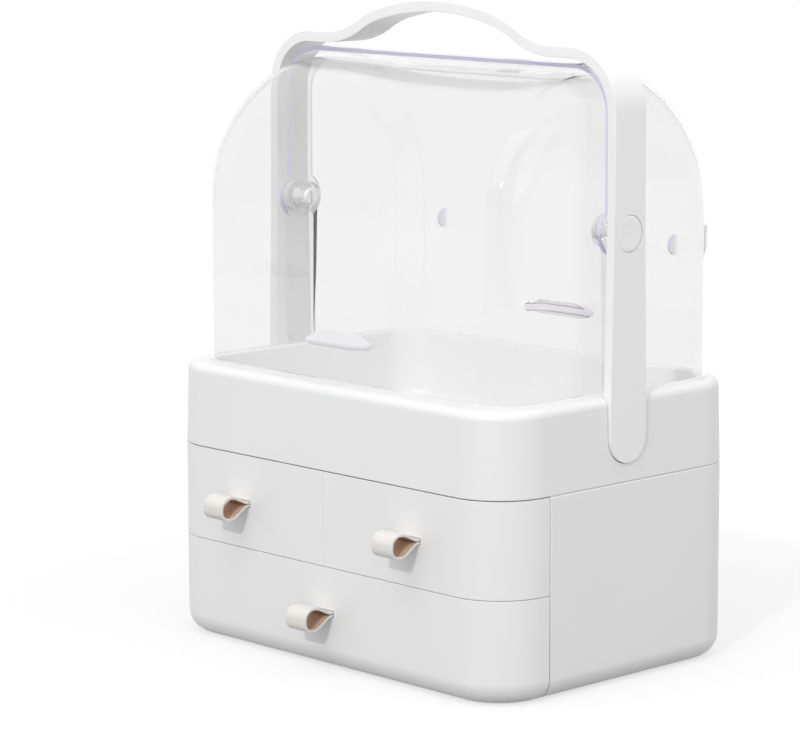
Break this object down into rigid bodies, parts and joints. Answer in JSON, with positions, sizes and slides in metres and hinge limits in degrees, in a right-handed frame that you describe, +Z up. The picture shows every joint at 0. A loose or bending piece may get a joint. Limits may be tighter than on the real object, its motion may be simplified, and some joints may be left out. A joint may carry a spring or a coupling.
{
  "type": "makeup organizer",
  "caption": "Dustproof makeup organizer: white body with a wide drawer under small ones, a deep tray, nested clear covers that swing on pins, strap pulls and a raised carrying handle",
  "frame": {"origin": "On the underside of the body, under the middle of its width and of its depth without the pulls", "axes": "+X to the right seen from the front, +Y to the back, +Z up; the drawers face -Y"},
  "size_m": [0.265, 0.2075, 0.35],
  "materials": {
    "white_plastic": "satin white moulded plastic",
    "clear_plastic": "clear glossy plastic with a faint violet edge",
    "cream_strap": "smooth cream leather-like strap with a tan inner face",
    "grey_rubber": "matt grey rubber",
    "screw_steel": "plain steel"
  },
  "bodies": {
    "base": {"drawer_housing": "white_plastic", "drawer_shelf": "white_plastic", "drawer_divider": "white_plastic", "rubber_pads": "grey_rubber", "top_tray": "white_plastic", "tray_screws": "screw_steel", "handle": "white_plastic", "handle_screws": "screw_steel", "pivot_pin_left": "white_plastic", "pivot_pin_right": "white_plastic", "pivot_cap_left": "white_plastic", "pivot_cap_right": "white_plastic", "pivot_washer_left": "white_plastic", "pivot_washer_right": "white_plastic"},
    "front_cover_body": {"front_cover": "clear_plastic", "front_finger_tab": "clear_plastic"},
    "rear_cover_body": {"rear_cover": "clear_plastic", "rear_finger_tab": "clear_plastic"},
    "left_drawer_body": {"left_drawer_box": "white_plastic", "left_drawer_front": "white_plastic", "left_drawer_pull": "cream_strap", "left_pull_clip": "white_plastic"},
    "right_drawer_body": {"right_drawer_box": "white_plastic", "right_drawer_front": "white_plastic", "right_drawer_pull": "cream_strap", "right_pull_clip": "white_plastic"},
    "bottom_drawer_body": {"bottom_drawer_box": "white_plastic", "bottom_drawer_front": "white_plastic", "bottom_drawer_pull": "cream_strap", "bottom_pull_clip": "white_plastic"}
  },
  "joints": [
    {"name": "front_cover_hinge", "type": "hinge", "parent": "base", "child": "front_cover_body", "pos_m": [0, 0, 0.236], "axis": [-1, 0, 0], "range_deg": [0, 90]},
    {"name": "rear_cover_hinge", "type": "hinge", "parent": "base", "child": "rear_cover_body", "pos_m": [0, 0, 0.236], "axis": [-1, 0, 0], "range_deg": [-90, 0]},
    {"name": "left_drawer_slide", "type": "slide", "parent": "base", "child": "left_drawer_body", "axis": [0, -1, 0], "range_m": [0, 0.13]},
    {"name": "right_drawer_slide", "type": "slide", "parent": "base", "child": "right_drawer_body", "axis": [0, -1, 0], "range_m": [0, 0.13]},
    {"name": "bottom_drawer_slide", "type": "slide", "parent": "base", "child": "bottom_drawer_body", "axis": [0, -1, 0], "range_m": [0, 0.13]}
  ]
}
